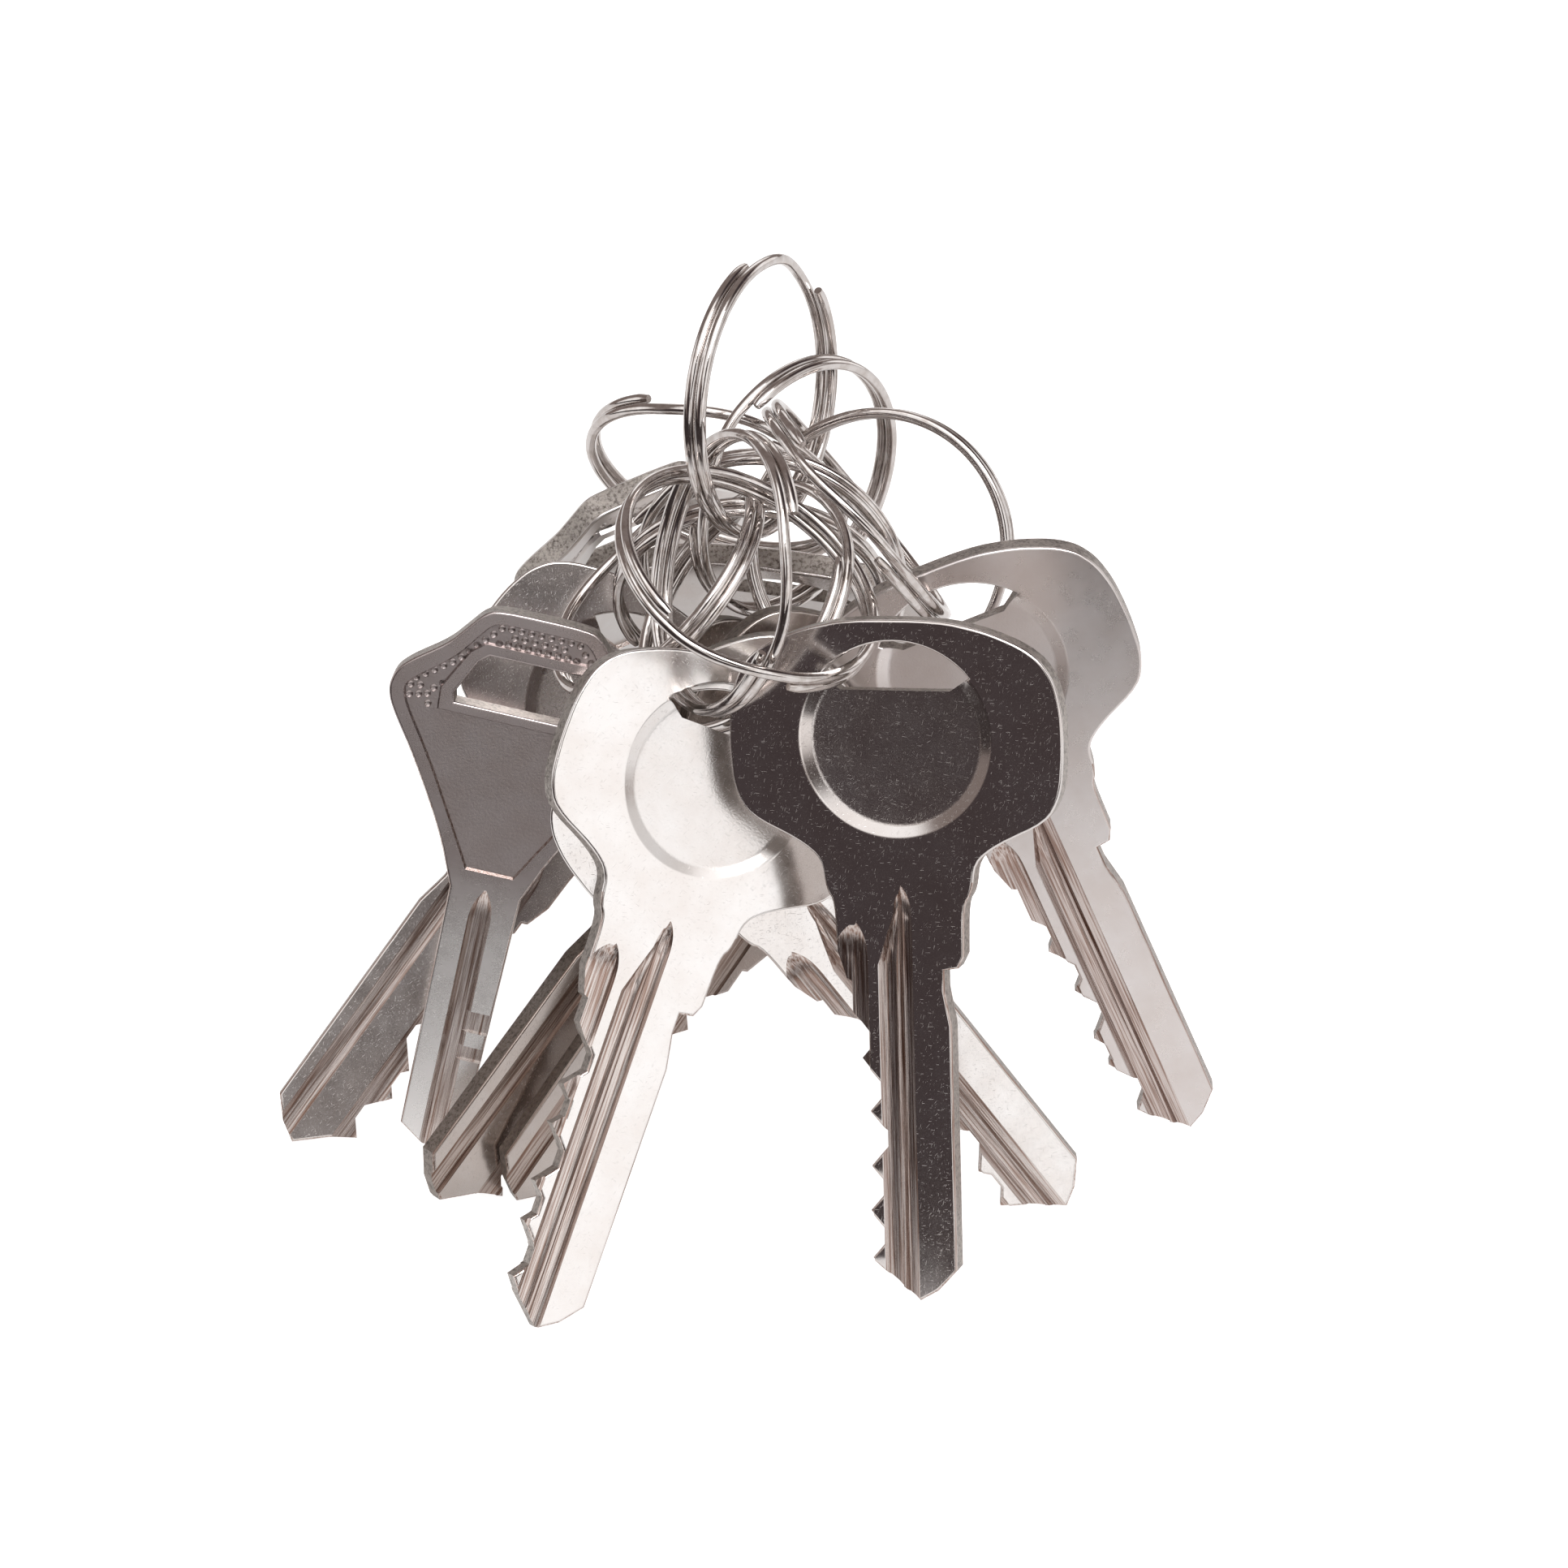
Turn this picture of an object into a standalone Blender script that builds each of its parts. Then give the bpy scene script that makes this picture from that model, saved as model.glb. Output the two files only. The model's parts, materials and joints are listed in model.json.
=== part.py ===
"""A bunch of ten nickel-plated keys on a master split ring, standing like a tent on the key tips.

Every key has a small split ring of its own, and the small rings are threaded on the master ring.
Lengths in the constants are millimetres and angles are degrees. Blender's units are metres.
"""

import math

import bmesh
import bpy
from mathutils import Matrix, Vector
from mathutils.geometry import tessellate_polygon

MM = 0.001

# Split rings: two flat coils of hard wire with one crossover, where both wire ends stop short.
WIRE = 1.0
COIL_PITCH = 1.06
LINK_RADIUS = 11.45
MASTER_RADIUS = 11.6
END_GAP = 30.0
CROSSOVER = 25.0
RING_STEP = 15.0
WIRE_SIDES = 6

# Cylinder key with the big round bow.
DISC_KEY_THICKNESS = 2.3
BOW_SIDE = (
    (5.4, 29.5), (5.5, 33.8), (6.2, 34.9), (6.5, 37.4), (8.4, 38.9), (12.6, 40.9),
    (13.8, 43.2), (14.1, 46.6), (14.0, 50.0), (13.4, 52.5), (12.3, 54.2), (10.6, 55.4), (7.6, 56.6), (3.8, 57.4),
)
BLADE_EDGE = 4.25
SHOULDER = 27.3
DISH_CENTRE = (0.0, 47.4)
DISH_RADIUS = 8.2
DISH_FLOOR_RADIUS = 7.4
DISH_DEPTH = 0.4
DISH_SIDES = 28
HOLE_CHORD = 51.5
FIRST_CUT = 22.1
CUT_PITCH = 4.15
CUT_FLAT = 1.4
CUT_SLOPE = 0.85
CUT_STEP = 0.45
GROOVE_DEPTH = 0.55

# Dimpled-bow key.
DIMPLED_KEY_THICKNESS = 2.4
DIMPLED_SIDE = (
    (3.1, 23.6), (5.0, 28.2), (8.4, 34.0), (11.3, 38.2), (11.8, 39.8), (11.5, 41.3), (10.4, 42.5),
    (7.6, 44.6), (6.2, 46.4), (5.2, 47.7), (4.0, 48.4),
)
DIMPLED_HOLE = ((-6.0, 39.7), (6.0, 39.7), (6.2, 40.5), (4.7, 43.6), (3.9, 44.3), (-3.9, 44.3), (-4.7, 43.6), (-6.2, 40.5))
DIMPLED_FIELD_DEPTH = 0.35

# Where every ring and key sits. Ring: centre, then heading and tilt of its normal, then where its wire ends are.
# Key: tip, then heading of its lean, lean from upright, turn on itself, and the depths of its cuts.
MASTER = {
    "centre": (-13.2, 41.5, 64.5),
    "normal": (-28, 5),
    "opening": 60,
}
LINKS = (
    {
        "key": "front",
        "centre": (-14.3, 24.4, 56.1),
        "normal": (-26, 59),
        "opening": 200,
        "tip": (-0.7, 1.6, 0.3),
        "stance": (95.0, 18.5, -20.5),
        "bitting": (2, 4, 5, 4, 4),
    },
    {
        "key": "front_left",
        "centre": (-16.3, 25.6, 55.9),
        "normal": (-158, 18),
        "opening": 20,
        "tip": (-32.9, -3.1, 1.0),
        "stance": (56.5, 36.5, 50.0),
        "bitting": (3, 2, 4, 3, 5),
    },
    {
        "key": "behind",
        "centre": (-14.7, 33.5, 48.5),
        "normal": (-155, 41),
        "opening": 80,
        "tip": (12.1, 15.3, -0.1),
        "stance": (158.0, 42.0, -62.0),
        "bitting": (4, 3, 2, 5, 3),
    },
    {
        "key": "right",
        "centre": (-5.2, 40.6, 54.0),
        "normal": (16, 36),
        "opening": 140,
        "tip": (23.4, 28.4, 0.0),
        "stance": (167.5, 24.0, -78.0),
        "bitting": (1, 3, 4, 2, 5),
    },
    {
        "key": "left",
        "centre": (-14.3, 44.4, 44.2),
        "normal": (90, 22),
        "opening": 300,
        "tip": (-53.6, 25.2, -0.0),
        "stance": (35.0, 45.5, -129.5),
        "bitting": (5, 3, 4, 1, 3),
    },
    {
        "key": "mid_back",
        "centre": (-12.5, 42.7, 47.1),
        "normal": (-103, -3),
        "opening": 260,
        "tip": (-40.7, 16.4, 0.0),
        "stance": (41.0, 50.5, -107.5),
        "bitting": (2, 5, 3, 4, 2),
    },
    {
        "key": "mid_left",
        "centre": (-3.3, 41.1, 50.5),
        "normal": (-110, 25),
        "opening": 330,
        "tip": (-33.9, 16.9, -0.3),
        "stance": (33.5, 43.0, -109.5),
        "bitting": (3, 4, 1, 5, 2),
    },
    {
        "key": "dimpled_front",
        "centre": (-22.1, 37.4, 48.8),
        "normal": (-171, 46),
        "opening": 210,
        "tip": (-42.2, 24.9, 0.7),
        "stance": (44.5, 18.0, 42.0),
        "bitting": (),
    },
    {
        "key": "dimpled_back",
        "centre": (-17.2, 51.6, 51.9),
        "normal": (67, 33),
        "opening": 100,
        "tip": (-26.7, 77.9, 7.8),
        "stance": (-83.5, 29.5, -157.0),
        "bitting": (),
    },
    {
        "key": "back",
        "centre": (-10.5, 46.2, 53.8),
        "normal": (135, 4),
        "opening": 30,
        "tip": (-11.7, 82.0, 0.7),
        "stance": (-89.0, 37.5, 171.0),
        "bitting": (4, 1, 3, 2, 4),
    },
)


def remove_everything():
    """Start from an empty scene."""
    for old in list(bpy.data.objects):
        bpy.data.objects.remove(old, do_unlink=True)


def material(name, colour, roughness):
    """A plain metal for one sub-part."""
    mat = bpy.data.materials.new(name)
    mat.use_nodes = True
    shader = mat.node_tree.nodes["Principled BSDF"]
    shader.inputs["Base Color"].default_value = (*colour, 1.0)
    shader.inputs["Metallic"].default_value = 1.0
    shader.inputs["Roughness"].default_value = roughness
    return mat


def new_object(name, mesh):
    """Put a mesh into the scene as a named object."""
    obj = bpy.data.objects.new(name, mesh)
    bpy.context.scene.collection.objects.link(obj)
    return obj


def mesh_from(name, points, faces):
    """A mesh in metres from points in millimetres, with its faces turned outwards."""
    mesh = bpy.data.meshes.new(name)
    mesh.from_pydata([Vector(p) * MM for p in points], [], faces)
    work = bmesh.new()
    work.from_mesh(mesh)
    bmesh.ops.recalc_face_normals(work, faces=work.faces)
    work.to_mesh(mesh)
    work.free()
    return mesh


def prism(name, outline, low, high, holes=()):
    """A flat plate between two heights, with any holes cut straight through."""
    loops = [list(outline), *[list(h) for h in holes]]
    flat = [p for loop in loops for p in loop]
    count = len(flat)
    caps = tessellate_polygon([[Vector((x, y, 0.0)) for x, y in loop] for loop in loops])
    points = [(x, y, low) for x, y in flat] + [(x, y, high) for x, y in flat]
    faces = [tuple(f) for f in caps] + [tuple(i + count for i in reversed(f)) for f in caps]
    start = 0
    for loop in loops:
        for i in range(len(loop)):
            a = start + i
            b = start + (i + 1) % len(loop)
            faces.append((a, b, b + count, a + count))
        start += len(loop)
    return mesh_from(name, points, faces)


def dish(name, centre, face_radius, floor_radius, face, floor, sides):
    """A round cutter whose wall slopes in towards its floor, and which stands clear of the face."""
    clear = face + (face - floor)
    grow = face_radius + (face_radius - floor_radius)
    rows = ((floor, floor_radius), (clear, grow))
    points = []
    for height, radius in rows:
        for i in range(sides):
            a = 2 * math.pi * (i + 0.5) / sides
            points.append((centre[0] + radius * math.cos(a), centre[1] + radius * math.sin(a), height))
    faces = [tuple(range(sides)), tuple(range(sides, 2 * sides))]
    for i in range(sides):
        j = (i + 1) % sides
        faces.append((i, j, j + sides, i + sides))
    return mesh_from(name, points, faces)


def cut(mesh, cutters):
    """Take each cutter's shape out of the mesh, and leave no cutter behind."""
    body = new_object("blank", mesh)
    tools = []
    for i, cutter in enumerate(cutters):
        tool = new_object("cutter", cutter)
        tool.hide_render = True
        tool.display_type = "WIRE"
        tools.append(tool)
        step = body.modifiers.new(f"cut_{i}", "BOOLEAN")
        step.operation = "DIFFERENCE"
        step.solver = "EXACT"
        step.object = tool
    graph = bpy.context.evaluated_depsgraph_get()
    result = bpy.data.meshes.new_from_object(body.evaluated_get(graph))
    for obj in [body, *tools]:
        bpy.data.objects.remove(obj, do_unlink=True)
    work = bmesh.new()
    work.from_mesh(result)
    bmesh.ops.remove_doubles(work, verts=work.verts, dist=0.00002)
    bmesh.ops.dissolve_degenerate(work, edges=work.edges, dist=0.00002)
    bmesh.ops.triangulate(work, faces=work.faces)
    work.to_mesh(result)
    work.free()
    return result


def mirrored(side):
    """The left half of an outline, from the top down, for a right half given from the bottom up."""
    return [(-x, y) for x, y in reversed(side)]


def bitting_edge(depths):
    """The cut edge of a blade from the shoulder to the tip: flats at the pin places, ridges between."""
    at = [FIRST_CUT - CUT_PITCH * i for i in range(len(depths))]
    deep = [0.5 + CUT_STEP * d for d in depths]
    half = CUT_FLAT / 2
    edge = [(-BLADE_EDGE, at[0] + half + deep[0] / CUT_SLOPE)]
    for i, (y, depth) in enumerate(zip(at, deep)):
        edge.append((-BLADE_EDGE + depth, y + half))
        edge.append((-BLADE_EDGE + depth, y - half))
        if i + 1 < len(at):
            gap = (y - half) - (at[i + 1] + half)
            fall = (gap + (depth - deep[i + 1]) / CUT_SLOPE) / 2
            fall = min(max(fall, 0.15), gap - 0.15)
            ridge = depth - CUT_SLOPE * fall
            edge.append((-BLADE_EDGE + max(ridge, 0.0), y - half - fall))
    last = at[-1] - half
    nose = max(deep[-1] - 1.1, 0.3)
    edge.append((-BLADE_EDGE + nose, last - 1.3))
    edge.append((-1.5, 2.2))
    return edge


def disc_key_mesh(name, depths):
    """A cylinder key: thin arch over a D-shaped hole, round dish, shouldered neck, milled and cut blade."""
    half = DISC_KEY_THICKNESS / 2
    back = [(0.9, 0.0), (2.6, 1.0), (BLADE_EDGE, 2.8), (BLADE_EDGE, 23.6), (3.7, 26.6), (3.7, 28.3), (4.9, 28.5)]
    front = [(-4.7, SHOULDER), (-BLADE_EDGE, SHOULDER - 0.2)]
    outline = back + list(BOW_SIDE) + mirrored(BOW_SIDE) + front + bitting_edge(depths)
    arc = []
    for i in range(7):
        a = math.radians(40 + 100 * i / 6)
        arc.append((DISH_CENTRE[0] + DISH_RADIUS * math.cos(a), DISH_CENTRE[1] + DISH_RADIUS * math.sin(a)))
    hole = [(-4.6, HOLE_CHORD), (4.6, HOLE_CHORD), *arc]
    blank = prism(name, outline, -half, half, [hole])
    floor = half - DISH_DEPTH
    cutters = [
        dish("dish", DISH_CENTRE, DISH_RADIUS, DISH_FLOOR_RADIUS, half, floor, DISH_SIDES),
        dish("dish", DISH_CENTRE, DISH_RADIUS, DISH_FLOOR_RADIUS, -half, -floor, DISH_SIDES),
    ]
    deep = half - GROOVE_DEPTH
    over = half + 1.0
    centre_groove = [(-0.3, -1.0), (0.95, -1.0), (0.95, 31.5), (0.35, 35.3), (-0.3, 31.5)]
    edge_groove = [(-5.5, -1.0), (-2.3, -1.0), (-2.3, 26.0), (-3.3, 29.5), (-4.0, 32.0), (-4.4, 29.5), (-5.5, 26.0)]
    back_groove = [(-3.4, -1.0), (-1.7, -1.0), (-1.7, 28.5), (-2.6, 32.5), (-3.4, 28.5)]
    back_groove_2 = [(1.5, -1.0), (3.0, -1.0), (3.0, 29.0), (2.3, 33.0), (1.5, 29.0)]
    cutters.append(prism("groove", centre_groove, deep, over))
    cutters.append(prism("groove", edge_groove, deep + 0.1, over))
    cutters.append(prism("groove", back_groove, -over, -deep))
    cutters.append(prism("groove", back_groove_2, -over, -deep))
    return cut(blank, cutters)


def dimpled_key_mesh(name):
    """A key with a raised rim round a sunk field, a window for the ring, and a blade with side steps."""
    half = DIMPLED_KEY_THICKNESS / 2
    tip = [(-0.6, 0.0), (1.2, 0.0), (2.6, 1.4)]
    outline = tip + list(DIMPLED_SIDE) + mirrored(DIMPLED_SIDE) + [(-2.9, 1.6)]
    blank = prism(name, outline, -half, half, [DIMPLED_HOLE])
    field = [(2.2, 25.2), (4.1, 28.6), (7.4, 34.3), (10.3, 38.6), (10.7, 40.0), (10.3, 40.9), (6.9, 43.7), (5.4, 45.8)]
    field = field + [(4.6, 46.9), (3.7, 47.5)]
    field = field + mirrored(field)
    rim = [(7.1, 39.0), (7.2, 40.7), (5.4, 44.2), (4.3, 45.1), (-4.3, 45.1), (-5.4, 44.2), (-7.2, 40.7), (-7.1, 39.0)]
    low = half - DIMPLED_FIELD_DEPTH
    over = half + 1.0
    cutters = [prism("field", field, low, over, [rim]), prism("field", field, -over, -low, [rim])]
    channel = [(-0.9, 3.0), (0.9, 3.0), (0.9, 22.0), (0.0, 23.2), (-0.9, 22.0)]
    cutters.append(prism("channel", channel, half - 0.5, over))
    cutters.append(prism("channel", channel, -over, -half + 0.5))
    for low_y, high_y in ((11.0, 12.9), (8.4, 9.7)):
        step = [(-1.6, low_y), (4.5, low_y), (4.5, high_y), (-1.6, high_y)]
        cutters.append(prism("step", step, half - 0.6, over))
    return cut(blank, cutters)


def ring_axes(heading, tilt):
    """The two in-plane directions and the normal of a ring whose normal has this heading and tilt."""
    h = math.radians(heading)
    t = math.radians(tilt)
    normal = Vector((math.cos(h) * math.cos(t), math.sin(h) * math.cos(t), math.sin(t)))
    level = Vector((-math.sin(h), math.cos(h), 0.0))
    return level, normal.cross(level), normal


def ring_mesh(name, radius, origin, centre, axes, opening):
    """One wire wound nearly twice round, flat against itself, with a short crossover between the coils."""
    level, slope, normal = axes
    start = END_GAP
    turns = round((720 - 2 * END_GAP) / RING_STEP)
    points = []
    for i in range(turns + 1):
        t = start + i * (720 - 2 * END_GAP) / turns
        s = min(max((t - 360 + CROSSOVER) / (2 * CROSSOVER), 0.0), 1.0)
        shift = COIL_PITCH * (s * s * (3 - 2 * s) - 0.5)
        a = math.radians(t + opening)
        outward = level * math.cos(a) + slope * math.sin(a)
        for k in range(WIRE_SIDES):
            b = 2 * math.pi * (k + 0.5) / WIRE_SIDES
            ring = radius + WIRE / 2 * math.cos(b)
            rise = shift + WIRE / 2 * math.sin(b)
            points.append(centre + outward * ring + normal * rise - origin)
    faces = [tuple(range(WIRE_SIDES)), tuple(range(turns * WIRE_SIDES, (turns + 1) * WIRE_SIDES))]
    for i in range(turns):
        for k in range(WIRE_SIDES):
            a = i * WIRE_SIDES + k
            b = i * WIRE_SIDES + (k + 1) % WIRE_SIDES
            faces.append((a, b, b + WIRE_SIDES, a + WIRE_SIDES))
    return mesh_from(name, points, faces)


def crossings(centre, radius, normal, point, plane_normal):
    """The two points where a circle goes through a plane."""
    line = normal.cross(plane_normal).normalized()
    across = line.cross(normal)
    offset = (point - centre).dot(plane_normal) / across.dot(plane_normal)
    half = math.sqrt(radius * radius - offset * offset)
    middle = centre + across * offset
    return middle + line * half, middle - line * half


def key_axes(heading, lean, turn):
    """Across, along and face directions of a key that leans towards a heading and is turned on itself."""
    h = math.radians(heading)
    a = math.radians(lean)
    along = Vector((math.cos(h) * math.sin(a), math.sin(h) * math.sin(a), math.cos(a)))
    side = Vector((math.sin(h), -math.cos(h), 0.0))
    across = Matrix.Rotation(math.radians(turn), 3, along) @ side
    return across, along, across.cross(along)


def build():
    """Make all pieces, then stand the bunch on the origin."""
    remove_everything()
    bright = material("nickel_bright", (0.72, 0.69, 0.67), 0.22)
    satin = material("nickel_satin", (0.50, 0.46, 0.45), 0.34)
    wire = material("ring_steel", (0.66, 0.63, 0.61), 0.18)
    made = []
    master_centre = Vector(MASTER["centre"])
    master_axes = ring_axes(*MASTER["normal"])
    mesh = ring_mesh("master_ring", MASTER_RADIUS, master_centre, master_centre, master_axes, MASTER["opening"])
    master = new_object("master_ring", mesh)
    master.location = master_centre * MM
    mesh.materials.append(wire)
    made.append(master)
    for link in LINKS:
        centre = Vector(link["centre"])
        axes = ring_axes(*link["normal"])
        # the ring hangs where it goes through the master ring
        inside = min(
            crossings(centre, LINK_RADIUS, axes[2], master_centre, master_axes[2]),
            key=lambda p: (p - master_centre).length,
        )
        hang = master_centre + (inside - master_centre).normalized() * MASTER_RADIUS
        name = "ring_" + link["key"]
        mesh = ring_mesh(name, LINK_RADIUS, hang, centre, axes, link["opening"])
        mesh.materials.append(wire)
        ring = new_object(name, mesh)
        ring.location = hang * MM
        made.append(ring)
        # the key hangs where its ring goes through the key's hole
        across, along, face = key_axes(*link["stance"])
        tip = Vector(link["tip"])
        top = 54.0 if link["bitting"] else 42.0
        eye = tip + along * top
        grip = min(crossings(centre, LINK_RADIUS, axes[2], tip, face), key=lambda p: (p - eye).length)
        name = "key_" + link["key"]
        if link["bitting"]:
            mesh = disc_key_mesh(name, link["bitting"])
            mesh.materials.append(bright)
        else:
            mesh = dimpled_key_mesh(name)
            mesh.materials.append(satin)
        turn = Matrix((across, along, face)).transposed()
        mesh.transform(turn.to_4x4())
        mesh.transform(Matrix.Translation((tip - grip) * MM))
        key = new_object(name, mesh)
        key.location = grip * MM
        made.append(key)
    stand_on_origin(made)


def stand_on_origin(objects):
    """Move everything so that the middle of the bounding box's floor is the origin."""
    spots = [obj.location + v.co for obj in objects for v in obj.data.vertices]
    low = Vector([min(s[i] for s in spots) for i in range(3)])
    high = Vector([max(s[i] for s in spots) for i in range(3)])
    shift = Vector((-(low.x + high.x) / 2, -(low.y + high.y) / 2, -low.z))
    for obj in objects:
        obj.location += shift


build()
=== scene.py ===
"""Looks for a bunch of ten nickel-plated keys on split rings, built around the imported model.

Lengths in the shape constants are millimetres. A key's own axes are: x across the blade with the
cuts on -x, y from the tip to the bow, z out of the front face.
"""
import json
import math

import bmesh
import bpy
import numpy as np
from mathutils import Matrix, Vector
from mathutils.geometry import tessellate_polygon


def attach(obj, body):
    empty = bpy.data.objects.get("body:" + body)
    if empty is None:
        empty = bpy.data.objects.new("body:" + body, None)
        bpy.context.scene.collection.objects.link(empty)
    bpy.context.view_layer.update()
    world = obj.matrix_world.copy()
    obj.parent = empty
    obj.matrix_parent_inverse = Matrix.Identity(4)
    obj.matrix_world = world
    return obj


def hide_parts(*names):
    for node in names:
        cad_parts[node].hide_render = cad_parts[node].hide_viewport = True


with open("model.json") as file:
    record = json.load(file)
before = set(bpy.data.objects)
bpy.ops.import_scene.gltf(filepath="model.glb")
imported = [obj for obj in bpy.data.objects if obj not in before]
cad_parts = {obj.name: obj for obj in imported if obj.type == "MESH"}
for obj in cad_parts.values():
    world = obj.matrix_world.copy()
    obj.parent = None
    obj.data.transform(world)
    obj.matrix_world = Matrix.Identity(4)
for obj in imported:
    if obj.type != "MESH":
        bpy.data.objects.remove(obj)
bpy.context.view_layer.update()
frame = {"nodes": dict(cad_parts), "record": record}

MM = 0.001

# ---------------------------------------------------------------- shape constants
# Round-over of a plate's edges, and half the thickness of each kind of key.
EDGE = 0.24
EDGE_STEPS = 4
DISC_HALF = 1.15
DIMPLED_HALF = 1.2
# Outline of a cylinder key: from the tip up the plain side, half of its bow, and down the cut side.
TIP_SIDE = ((0.9, 0.0), (2.6, 1.0), (4.25, 2.8), (4.25, 23.6), (3.7, 26.6), (3.7, 28.3), (4.9, 28.5))
BOW_SIDE = (
    (5.4, 29.5), (5.5, 33.8), (6.2, 34.9), (6.5, 37.4), (8.4, 38.9), (12.6, 40.9), (13.8, 43.2),
    (14.1, 46.6), (14.0, 50.0), (13.4, 52.5), (12.3, 54.2), (10.6, 55.4), (7.6, 56.6), (3.8, 57.4),
)
FRONT_SIDE = ((-4.7, 27.3), (-4.25, 27.1))
# The cuts: where the first one is, their pitch, flat width and slope, and the depth of one step.
BLADE_EDGE = 4.25
FIRST_CUT = 22.1
CUT_PITCH = 4.15
CUT_FLAT = 1.4
CUT_SLOPE = 0.85
CUT_STEP = 0.45
# The round dish of the bow: radius and height over the face, from the middle outwards.
DISH_CENTRE = (0.0, 47.4)
DISH_PROFILE = (
    (0.0, -0.53), (2.5, -0.52), (4.2, -0.495), (5.4, -0.465), (6.3, -0.43), (6.9, -0.395), (7.2, -0.35),
    (7.95, -0.035), (8.2, -0.005), (8.45, 0.02), (9.2, 0.5),
)
# Cross-sections of the grooves: x and depth under the face.
CENTRE_GROOVE = (
    (1.06, 0.0), (0.96, 0.62), (0.5, 0.74), (0.1, 0.66), (-0.14, 0.34), (-0.36, 0.3), (-0.5, 0.0),
)
LEFT_GROOVE = ((-0.3, 0.0), (-0.46, 0.5), (-0.9, 0.62), (-1.45, 0.5), (-1.85, 0.06), (-1.9, 0.0))
EDGE_GROOVE = ((-2.75, 0.0), (-2.95, 0.52), (-3.5, 0.62), (-4.15, 0.5), (-4.4, 0.5), (-5.6, 0.5))
BACK_GROOVE = ((-1.6, 0.0), (-1.7, 0.5), (-2.6, 0.6), (-3.4, 0.5), (-3.5, 0.0))
BACK_GROOVE_2 = ((3.1, 0.0), (3.0, 0.5), (2.2, 0.6), (1.5, 0.5), (1.4, 0.0))
# The hole for the ring: a part of a circle above a chord.
HOLE_CHORD = 51.5
HOLE_RADIUS = 8.2
# Dimpled key: half outline of blade and bow, its window, and the sunk field around the window's rim.
DIMPLED_SIDE = (
    (3.1, 23.6), (5.0, 28.2), (8.4, 34.0), (11.3, 38.2), (11.8, 39.8), (11.5, 41.3), (10.4, 42.5),
    (7.6, 44.6), (6.2, 46.4), (5.2, 47.7), (4.0, 48.4),
)
DIMPLED_HOLE = (
    (-6.0, 39.7), (6.0, 39.7), (6.2, 40.5), (4.7, 43.6),
    (3.9, 44.3), (-3.9, 44.3), (-4.7, 43.6), (-6.2, 40.5),
)
FIELD_SIDE = (
    (2.2, 25.2), (4.1, 28.6), (7.4, 34.3), (10.3, 38.6), (10.7, 40.0), (10.3, 40.9), (6.9, 43.7),
    (5.4, 45.8), (4.6, 46.9), (3.7, 47.5),
)
WINDOW_RIM = (
    (7.1, 39.0), (7.2, 40.7), (5.4, 44.2), (4.3, 45.1),
    (-4.3, 45.1), (-5.4, 44.2), (-7.2, 40.7), (-7.1, 39.0),
)
# Depth of each cut in steps, from the bow to the tip.
BITTINGS = {
    "key_front": (2, 4, 5, 4, 4), "key_front_left": (3, 2, 4, 3, 5), "key_behind": (4, 3, 2, 5, 3),
    "key_right": (1, 3, 4, 2, 5), "key_left": (5, 3, 4, 1, 3), "key_mid_back": (2, 5, 3, 4, 2),
    "key_mid_left": (3, 4, 1, 5, 2), "key_back": (4, 1, 3, 2, 4),
}
# Split ring: wire thickness, degrees of each step and of the gap at both ends, half the length of
# the crossover in degrees, and the distance between the two coils.
WIRE = 0.94
WIRE_SQUARENESS = 0.9
WIRE_END_SLIMMING = (0.72, 0.9)
WIRE_SIDES = 16
RING_STEP = 2.5
END_GAP = 30.0
CROSSOVER = 25.0
COIL_PITCH = 1.06
RUN_OUT_STEPS = 12
DIMPLES_IN_ROW = 24
DIMPLE_PITCH = 0.86
DIMPLE_RADIUS = 0.34
DIMPLE_DEPTH = 0.16
DIMPLE_SIDES = 10
STEP_DEPTH = 0.4
CHANNEL = ((1.0, 0.0), (0.55, 0.42), (-0.55, 0.42), (-1.0, 0.0))
FIELD_DEPTH = 0.35
STEPS_AT = ((11.0, 12.9), (8.4, 9.7))
SHEARED_WALL = 0.45
MILLED_BELOW = 36.0
PLATE, SHEARED, MILLED, SUNK = range(4)

# ---------------------------------------------------------------- look constants
# Painted light: along a key's own y, from the first place to the second (mm), a dimpled key's colour goes
# over into a paler blade colour, standing in for the lighter reflection on the blade.
PAINTED_LIGHT_FROM = 26.0
PAINTED_LIGHT_TO = 19.0
CLOUD_TONE = 0.93
SHEARED_TONE = (0.62, 0.585, 0.55)
SHEARED_ROUGHNESS = 0.33
MILLED_TONE = (0.85, 0.79, 0.76)
MILLED_ROUGHNESS = 0.24
SUNK_TONE = (0.97, 0.97, 0.97)
WIRE_COLOUR = (0.68, 0.645, 0.63)
WIRE_ROUGHNESS = 0.10
WARM = (0.72, 0.685, 0.67)
LIGHT = (0.82, 0.80, 0.79)
SOFT = (0.72, 0.68, 0.67)
DULL = (0.5, 0.455, 0.43)
# Painted shade: a darker plate colour for the front dimpled key, standing in for the dark surroundings that
# its bow mirrors.
BROWN_PAINTED_SHADE = (0.47, 0.42, 0.415)
FINISHES = {
    # node: face colour, face roughness, wear
    "key_front": (WARM, 0.13, 1.0),
    "key_front_left": (LIGHT, 0.17, 0.6),
    "key_behind": (LIGHT, 0.15, 0.6),
    "key_right": (SOFT, 0.28, 0.5),
    "key_left": (WARM, 0.20, 0.9),
    "key_mid_back": (DULL, 0.20, 0.8),
    "key_mid_left": (DULL, 0.20, 0.8),
    "key_back": (WARM, 0.22, 0.8),
    # painted shade: this key's darker colour stands in for the dark reflection on its bow
    "key_dimpled_front": (BROWN_PAINTED_SHADE, 0.27, 0.5),
    "key_dimpled_back": (LIGHT, 0.30, 0.5),
}

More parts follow.
